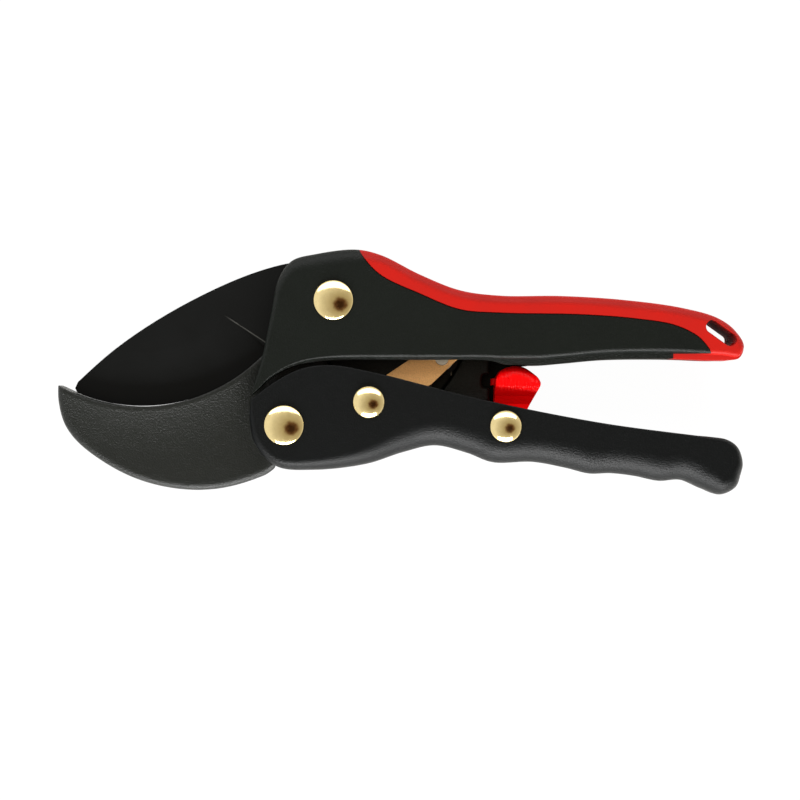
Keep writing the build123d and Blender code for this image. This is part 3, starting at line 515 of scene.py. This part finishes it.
def raise_rings(name, rings):
    """A filled ring, extruded once for each further ring and moved onto it."""
    bpy.ops.object.select_all(action="DESELECT")
    bpy.ops.mesh.primitive_circle_add(vertices=len(rings[0]), radius=1.0, fill_type="NGON")
    piece = bpy.context.object
    piece.name = piece.data.name = name
    bpy.ops.object.mode_set(mode="EDIT")
    mesh = bmesh.from_edit_mesh(piece.data)
    for vert, place in zip(mesh.verts, rings[0]):
        vert.co = place
    for below, ring in zip(rings, rings[1:]):
        bpy.ops.mesh.extrude_region_move()
        finder = KDTree(len(below))
        for index, place in enumerate(below):
            finder.insert(place, index)
        finder.balance()
        mesh = bmesh.from_edit_mesh(piece.data)
        for vert in mesh.verts:
            if vert.select:
                vert.co = ring[finder.find(vert.co)[1]]
    bpy.ops.mesh.select_all(action="SELECT")
    bpy.ops.mesh.normals_make_consistent(inside=False)
    bpy.ops.object.mode_set(mode="OBJECT")
    return piece


def apply_modifier(piece, kind, **settings):
    """A modifier with its settings, applied."""
    select_only(piece)
    bpy.ops.object.modifier_add(type=kind)
    modifier = piece.modifiers[-1]
    for key, value in settings.items():
        setattr(modifier, key, value)
    bpy.ops.object.modifier_apply(modifier=modifier.name)


def carve(piece, cutter, operation="DIFFERENCE", keep=False):
    """Cuts a piece with another one, or joins the two."""
    apply_modifier(piece, "BOOLEAN", operation=operation, object=cutter, solver="EXACT")
    if not keep:
        bpy.data.objects.remove(cutter)


def prism(name, outline, bottom, top):
    """A straight block of an outline, between two heights."""
    return raise_rings(name, [flat_ring(outline, bottom), flat_ring(outline, top)])


def drill(piece, pivot, bore, seat):
    """A rivet's bore through a handle, with the seat of its tail at the rear."""
    carve(piece, prism("bore", disc(pivot, bore), -PAST, THICK + PAST))
    carve(piece, prism("seat", disc(pivot, seat), -PAST, SEAT_DEPTH))


def disc(centre, radius, count=64):
    """Points round a circle."""
    return [(centre[0] + radius * cos(2 * pi * i / count), centre[1] + radius * sin(2 * pi * i / count))
            for i in range(count)]


def copy_of(piece, name):
    """A copy with its own mesh, its corners merged."""
    select_only(piece)
    bpy.ops.object.duplicate(linked=False)
    twin = bpy.context.object
    twin.name = twin.data.name = name
    for key in list(twin.keys()):
        del twin[key]
    bpy.ops.object.mode_set(mode="EDIT")
    bpy.ops.mesh.select_all(action="SELECT")
    bpy.ops.mesh.remove_doubles(threshold=0.000001)
    bpy.ops.object.mode_set(mode="OBJECT")
    return twin


def dress(piece, node, angle=32.0, finish=None):
    """Shading, material and body of a finished piece; hides the node that it stands for."""
    select_only(piece)
    bpy.ops.object.shade_smooth_by_angle(angle=radians(angle))
    apply_modifier(piece, "WEIGHTED_NORMAL", keep_sharp=True, weight=50)
    piece.data.materials.clear()
    piece.data.materials.append(finish_of(finish or NODE_SLOT[node]))
    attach(piece, NODE_BODY[node])
    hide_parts(node)


class ShearsUpperHandle(bpy.types.Operator):
    """Moulds the upper handle and its grip from one blank, parted along a groove"""

    bl_idname = "shears.upper_handle"
    bl_label = "Upper handle and grip"

    def execute(self, context):
        sizes = context.scene.shears_sizes
        step = sizes.outline_step / MM
        blank = raise_rings("blank", rounded_rings(through(UPPER_BLANK, step), THICK, UPPER_ROUND_STEPS))
        drill(blank, LARGE_RIVETS["blade_pivot_rivet"], LARGE_BORE, LARGE_SEAT)
        carve(blank, self.slot(sizes))
        roof = through(FORK_ROOF, step) + FORK_REST
        carve(blank, prism("fork", roof, MID - FORK_HALF, MID + FORK_HALF))
        edge = through(GRIP_EDGE, step)
        wide, deep = sizes.groove_width / MM / 2, sizes.groove_depth / MM
        for bottom, top in ((THICK - deep, THICK + PAST), (-PAST, deep)):
            strip = [(x, y + wide) for x, y in edge] + [(x - wide, y - wide) for x, y in reversed(edge)]
            carve(blank, prism("groove", strip, bottom, top))
        region = prism("region", edge + GRIP_REST, -PAST, THICK + PAST)
        grip = copy_of(blank, "moulded_grip")
        carve(grip, region, "INTERSECT", keep=True)
        carve(blank, region)
        carve(blank, prism("web", REAR_WEB, *WEB_SPAN), "UNION")
        blank.name = blank.data.name = "moulded_upper_handle"
        dress(blank, "upper_handle")
        dress(grip, "upper_grip")
        return {"FINISHED"}

    def slot(self, sizes):
        """The cutter of the hang slot, flared at both rims."""
        half, end = sizes.slot_length / MM / 2, sizes.slot_width / MM / 2
        flare = sizes.slot_round / MM
        stations = []
        for angle in range(-90, 270, 10):
            x = end * cos(radians(angle)) + (half - end) * (1 if angle < 90 else -1)
            y = end * sin(radians(angle))
            stations.append((SLOT_CENTRE[0] + x * cos(SLOT_TURN) - y * sin(SLOT_TURN),
                             SLOT_CENTRE[1] + x * sin(SLOT_TURN) + y * cos(SLOT_TURN), -flare, flare, 0.0))
        rings = rounded_rings(stations, THICK)
        past = Vector((0, 0, PAST * MM))
        return raise_rings("slot", [[p - past for p in rings[0]], *rings, [p + past for p in rings[-1]]])


class ShearsLowerHandle(bpy.types.Operator):
    """Moulds the lower handle with its finger grooves and its channel"""

    bl_idname = "shears.lower_handle"
    bl_label = "Lower handle"

    def execute(self, context):
        step = context.scene.shears_sizes.outline_step / MM
        rings = rounded_rings(through(LOWER_BLANK, step), THICK, LOWER_ROUND_STEPS)
        piece = raise_rings("moulded_lower_handle", rings)
        floor = through(CHANNEL_FLOOR, step) + CHANNEL_REST
        carve(piece, prism("channel", floor, MID - CHANNEL_HALF, MID + CHANNEL_HALF))
        drill(piece, LARGE_RIVETS["handle_pivot_rivet"], LARGE_BORE, LARGE_SEAT)
        for pivot in SMALL_RIVETS.values():
            drill(piece, pivot, SMALL_BORE, SMALL_SEAT)
        dress(piece, "lower_handle", finish="blacker_nylon")
        return {"FINISHED"}


class ShearsLatch(bpy.types.Operator):
    """Moulds the latch, with thumb ribs over its crown"""

    bl_idname = "shears.latch"
    bl_label = "Lock latch"

    def execute(self, context):
        sizes = context.scene.shears_sizes
        pitch, depth = sizes.rib_pitch / MM, sizes.rib_depth / MM

        def rib(x, width, turn):
            # Full depth on the crown, fading toward both ends of the rounding
            crown = clamp((width - RIB_FROM) / RIB_FADE)
            border = min(1.0, (pi / 2 - turn) / 0.2, turn / 0.3)
            return depth * crown * border * (0.5 + 0.5 * cos(2 * pi * x / pitch))

        outline = through(LATCH_BLANK, LATCH_STEP)
        rings = rounded_rings(outline, THICK - 2 * LATCH_REAR, LATCH_ROUND_STEPS, rib)
        rings = [[p + Vector((0, 0, LATCH_REAR * MM)) for p in ring] for ring in rings]
        piece = raise_rings("moulded_latch", rings)
        # Below the pad the sides close in, so that the latch can swing down into the channel
        low = [(SLOPE_LEFT, SLOPE_BOTTOM), (SLOPE_RIGHT, SLOPE_BOTTOM)]
        rows = [([(SLOPE_LEFT, y), *low, (SLOPE_RIGHT, y)], half) for y, half in LATCH_SLOPE]
        front = [flat_ring(row, MID + half) for row, half in rows]
        rear = [flat_ring(row, MID - half) for row, half in reversed(rows)]
        carve(piece, raise_rings("front_slope", front))
        carve(piece, raise_rings("rear_slope", rear))
        carve(piece, prism("nose", LATCH_NOSE, *NOSE_SPAN), "UNION")
        bore = disc(SMALL_RIVETS["latch_pivot_rivet"], LATCH_BORE)
        carve(piece, prism("bore", bore, -PAST, THICK + PAST))
        dress(piece, "lock_latch", angle=25.0)
        return {"FINISHED"}


class ShearsCasting(bpy.types.Operator):
    """Shapes the cast jaw further and softens the edges of the jaw and the stamped link"""

    bl_idname = "shears.casting"
    bl_label = "Cast jaw and stamped link"

    def execute(self, context):
        jaw = copy_of(frame["nodes"]["anvil_jaw"], "cast_jaw")
        apply_modifier(jaw, "REMESH", mode="VOXEL", voxel_size=JAW_VOXEL * MM)
        under = jaw.vertex_groups.new(name="underside")
        for vert in jaw.data.vertices:
            place = vert.co / MM
            away = Vector((place.x - LIP_CENTRE[0], place.y - LIP_CENTRE[1], 0.0))
            if away.length > LIP_RADIUS + UNDERSIDE_FROM:
                under.add([vert.index], 1.0, "REPLACE")
            free = clamp((JAW_FREE - place.x) / JAW_FADE)
            spread = JAW_SPREAD * free * clamp((away.length - LIP_RADIUS - SPREAD_FROM) / SPREAD_RUN)
            vert.co += away.normalized() * spread * MM
            fall = JAW_FALL * free * max(0.0, (place.x - FALL_FROM) / FALL_RUN) ** 2
            vert.co.z -= fall * clamp((place.z - MID) / FALL_DEPTH, low=FALL_REAR) * MM
        apply_modifier(jaw, "SMOOTH", factor=0.5, iterations=3)
        apply_modifier(jaw, "SMOOTH", factor=0.5, iterations=15, vertex_group="underside")
        dress(jaw, "anvil_jaw", angle=60.0)
        link = copy_of(frame["nodes"]["ratchet_link"], "stamped_link")
        apply_modifier(
            link, "BEVEL", width=0.2 * MM, segments=2, limit_method="ANGLE", angle_limit=radians(50))
        dress(link, "ratchet_link", angle=40.0)
        return {"FINISHED"}


class ShearsRivets(bpy.types.Operator):
    """Turns the domed rivets from their profiles"""

    bl_idname = "shears.rivets"
    bl_label = "Rivets"

    def execute(self, context):
        for places, radii in ((LARGE_RIVETS, LARGE_TURNED), (SMALL_RIVETS, SMALL_TURNED)):
            first = None
            for node, pivot in places.items():
                if first is None:
                    first = piece = self.turn(node, pivot, *radii)
                    home = pivot
                else:
                    piece = copy_of(first, "turned_" + node)
                    select_only(piece)
                    shift = ((pivot[0] - home[0]) * MM, (pivot[1] - home[1]) * MM, 0)
                    bpy.ops.object.mode_set(mode="EDIT")
                    bpy.ops.mesh.select_all(action="SELECT")
                    bpy.ops.transform.translate(value=shift)
                    bpy.ops.object.mode_set(mode="OBJECT")
                dress(piece, node, angle=40.0)
        return {"FINISHED"}

    def turn(self, node, pivot, shank, head, tail):
        """One rivet, spun from its half profile."""
        x, y = pivot
        seat, rim, crown = THICK + HEAD_SEAT, THICK + HEAD_RIM, THICK + HEAD_CROWN
        sphere = (head ** 2 + (crown - rim) ** 2) / (2 * (crown - rim))
        radii = [head * (1 - i / DOME_STEPS) for i in range(1, DOME_STEPS + 1)]
        dome = [(r, crown - sphere + sqrt(sphere ** 2 - r ** 2)) for r in radii]
        # The edges of the tail and of the head are broken
        profile = [
            (0, TAIL_BOTTOM), (tail - TAIL_CHAMFER, TAIL_BOTTOM), (tail, TAIL_BOTTOM + TAIL_CHAMFER),
            (tail, TAIL_TOP), (shank, TAIL_TOP), (shank, seat), (head - 0.25, seat), (head, seat + 0.2),
            (head, rim - 0.1), (head - 0.1, rim + 0.05), *dome,
        ]
        bpy.ops.object.select_all(action="DESELECT")
        bpy.ops.mesh.primitive_circle_add(vertices=len(profile), radius=1.0, fill_type="NOTHING")
        piece = bpy.context.object
        piece.name = piece.data.name = "turned_" + node
        bpy.ops.object.mode_set(mode="EDIT")
        mesh = bmesh.from_edit_mesh(piece.data)
        for vert, (r, z) in zip(mesh.verts, profile):
            vert.co = Vector((x + r, y, z)) * MM
        bmesh.update_edit_mesh(piece.data)
        bpy.ops.mesh.spin(steps=SPIN_STEPS, angle=2 * pi, center=(x * MM, y * MM, 0), axis=(0, 0, 1))
        bpy.ops.mesh.select_all(action="SELECT")
        bpy.ops.mesh.remove_doubles(threshold=0.00001)
        bpy.ops.mesh.normals_make_consistent(inside=False)
        bpy.ops.object.mode_set(mode="OBJECT")
        return piece


class ShearsMetal(bpy.types.Operator):
    """Gives the solids that keep their shape the finish of their slots"""

    bl_idname = "shears.metal"
    bl_label = "Kept solids"

    def execute(self, context):
        for node, piece in frame["nodes"].items():
            piece.data.materials.clear()
            piece.data.materials.append(finish_of(NODE_SLOT[node]))
        return {"FINISHED"}


class ShearsStage(bpy.types.Operator):
    """Lays the pale floor, the soft lights and the camera above"""

    bl_idname = "shears.stage"
    bl_label = "Stage"

    def execute(self, context):
        scene = context.scene
        sizes = scene.shears_sizes
        scene.view_settings.view_transform = "Standard"
        bpy.ops.object.select_all(action="DESELECT")
        bpy.ops.mesh.primitive_plane_add(size=FLOOR_SIZE, location=(0, 0, -FLOOR_DROP))
        floor = bpy.context.object
        floor.name = floor.data.name = "floor"
        floor.data.materials.append(self.paper(scene.shears_colours.floor))
        self.sky(scene)
        for name, place, width, height, watts in (
            ("soft_front", (0.0, -1.05, 0.44), 1.2, 0.4, 33.0),
            ("soft_back", (0.0, 0.85, 0.62), 2.4, 0.4, 11.0),
        ):
            bpy.ops.object.light_add(type="AREA", location=place)
            lamp = bpy.context.object
            lamp.name = lamp.data.name = name
            lamp.data.shape = "RECTANGLE"
            lamp.data.size, lamp.data.size_y = width, height
            lamp.data.energy = watts
            lamp.rotation_euler = (-Vector(place)).to_track_quat("-Z", "Y").to_euler()
        x, y, z = CAMERA_CENTRE
        bpy.ops.object.camera_add(location=(x, y, z + sizes.camera_height))
        camera = bpy.context.object
        camera.name = camera.data.name = "camera"
        camera.data.sensor_width = SENSOR
        camera.data.lens = SENSOR * sizes.camera_height / sizes.frame_width
        scene.camera = camera
        return {"FINISHED"}

    def paper(self, base):
        """White paper that shows near white to the camera and still takes the shadow."""
        material, tree, shader, _ = new_material("white_paper")
        shader.inputs["Base Color"].default_value = tuple(base)
        shader.inputs["Roughness"].default_value = 0.9
        glow = add_node(tree, "ShaderNodeEmission", {"Color": (1, 1, 1, 1), "Strength": 1.03})
        path = add_node(tree, "ShaderNodeLightPath")
        mirrored = add_node(tree, "ShaderNodeMath", {
            0: path.outputs["Is Glossy Ray"], 1: path.outputs["Is Transmission Ray"]}, operation="MAXIMUM")
        faint = add_node(tree, "ShaderNodeMath", {0: mirrored.outputs[0], 1: 0.1}, operation="MULTIPLY")
        seen = add_node(tree, "ShaderNodeMath", {
            0: path.outputs["Is Camera Ray"], 1: 0.95, 2: faint.outputs[0]}, operation="MULTIPLY_ADD")
        mix = add_node(tree, "ShaderNodeMixShader", {
            0: seen.outputs[0], 1: shader.outputs[0], 2: glow.outputs[0]})
        tree.links.new(mix.outputs[0], tree.nodes["Material Output"].inputs["Surface"])
        return material

    def sky(self, scene):
        """A pale tent with a ragged darker opening overhead, plain white to the camera."""
        world = bpy.data.worlds.new("tent")
        scene.world = world
        world.use_nodes = True
        tree = world.node_tree
        back = tree.nodes["Background"]
        place = add_node(tree, "ShaderNodeTexCoord").outputs["Generated"]
        opening = Vector((0.38, -0.19, 1.0)).normalized()
        near = add_node(tree, "ShaderNodeVectorMath", {0: place, 1: opening}, operation="DOT_PRODUCT")
        rag = add_node(tree, "ShaderNodeTexNoise", {"Vector": place, "Scale": 5.0, "Detail": 2.0})
        ragged = add_node(tree, "ShaderNodeMath", {
            0: rag.outputs[0], 1: 0.08, 2: near.outputs["Value"]}, operation="MULTIPLY_ADD")
        depth = add_node(tree, "ShaderNodeMath", {0: ragged.outputs[0], 1: 0.04}, operation="SUBTRACT")
        shades = add_node(tree, "ShaderNodeValToRGB", {0: depth.outputs[0]})
        ramp = shades.color_ramp
        ramp.elements[0].position, ramp.elements[0].color = 0.3, linear("#FBFAF7")
        ramp.elements[1].position, ramp.elements[1].color = 0.988, linear("#3A2416")
        middle = ((0.55, "#DEDBD4"), (0.78, "#C4BEB1"), (0.9, "#B2A995"), (0.955, "#6A4D38"))
        for position, code in middle:
            ramp.elements.new(position).color = linear(code)
        tree.links.new(shades.outputs[0], back.inputs["Color"])
        backdrop = add_node(tree, "ShaderNodeBackground", {"Color": (1, 1, 1, 1)})
        path = add_node(tree, "ShaderNodeLightPath")
        mix = add_node(tree, "ShaderNodeMixShader", {
            0: path.outputs["Is Camera Ray"], 1: back.outputs[0], 2: backdrop.outputs[0]})
        tree.links.new(mix.outputs[0], tree.nodes["World Output"].inputs["Surface"])


class ShearsPanel(bpy.types.Panel):
    """Lists the colours, the sizes and the steps in the sidebar."""

    bl_idname = "VIEW3D_PT_shears"
    bl_label = "Pruning shears"
    bl_space_type = "VIEW_3D"
    bl_region_type = "UI"
    bl_category = "Shears"

    def draw(self, context):
        for group in (context.scene.shears_colours, context.scene.shears_sizes):
            for key in group.__annotations__:
                self.layout.prop(group, key)
        for step in STEPS:
            self.layout.operator(step.bl_idname)


STEPS = (
    ShearsMetal, ShearsUpperHandle, ShearsLowerHandle, ShearsLatch, ShearsCasting, ShearsRivets, ShearsStage,
)
CLASSES = (ShearsColours, ShearsSizes, *STEPS, ShearsPanel)


def register():
    for kind in CLASSES:
        bpy.utils.register_class(kind)
    bpy.types.Scene.shears_colours = bpy.props.PointerProperty(type=ShearsColours)
    bpy.types.Scene.shears_sizes = bpy.props.PointerProperty(type=ShearsSizes)


def unregister():
    del bpy.types.Scene.shears_sizes
    del bpy.types.Scene.shears_colours
    for kind in reversed(CLASSES):
        bpy.utils.unregister_class(kind)


def main():
    register()
    for step in STEPS:
        group, name = step.bl_idname.split(".")
        getattr(getattr(bpy.ops, group), name)()


if __name__ == "__main__":
    main()
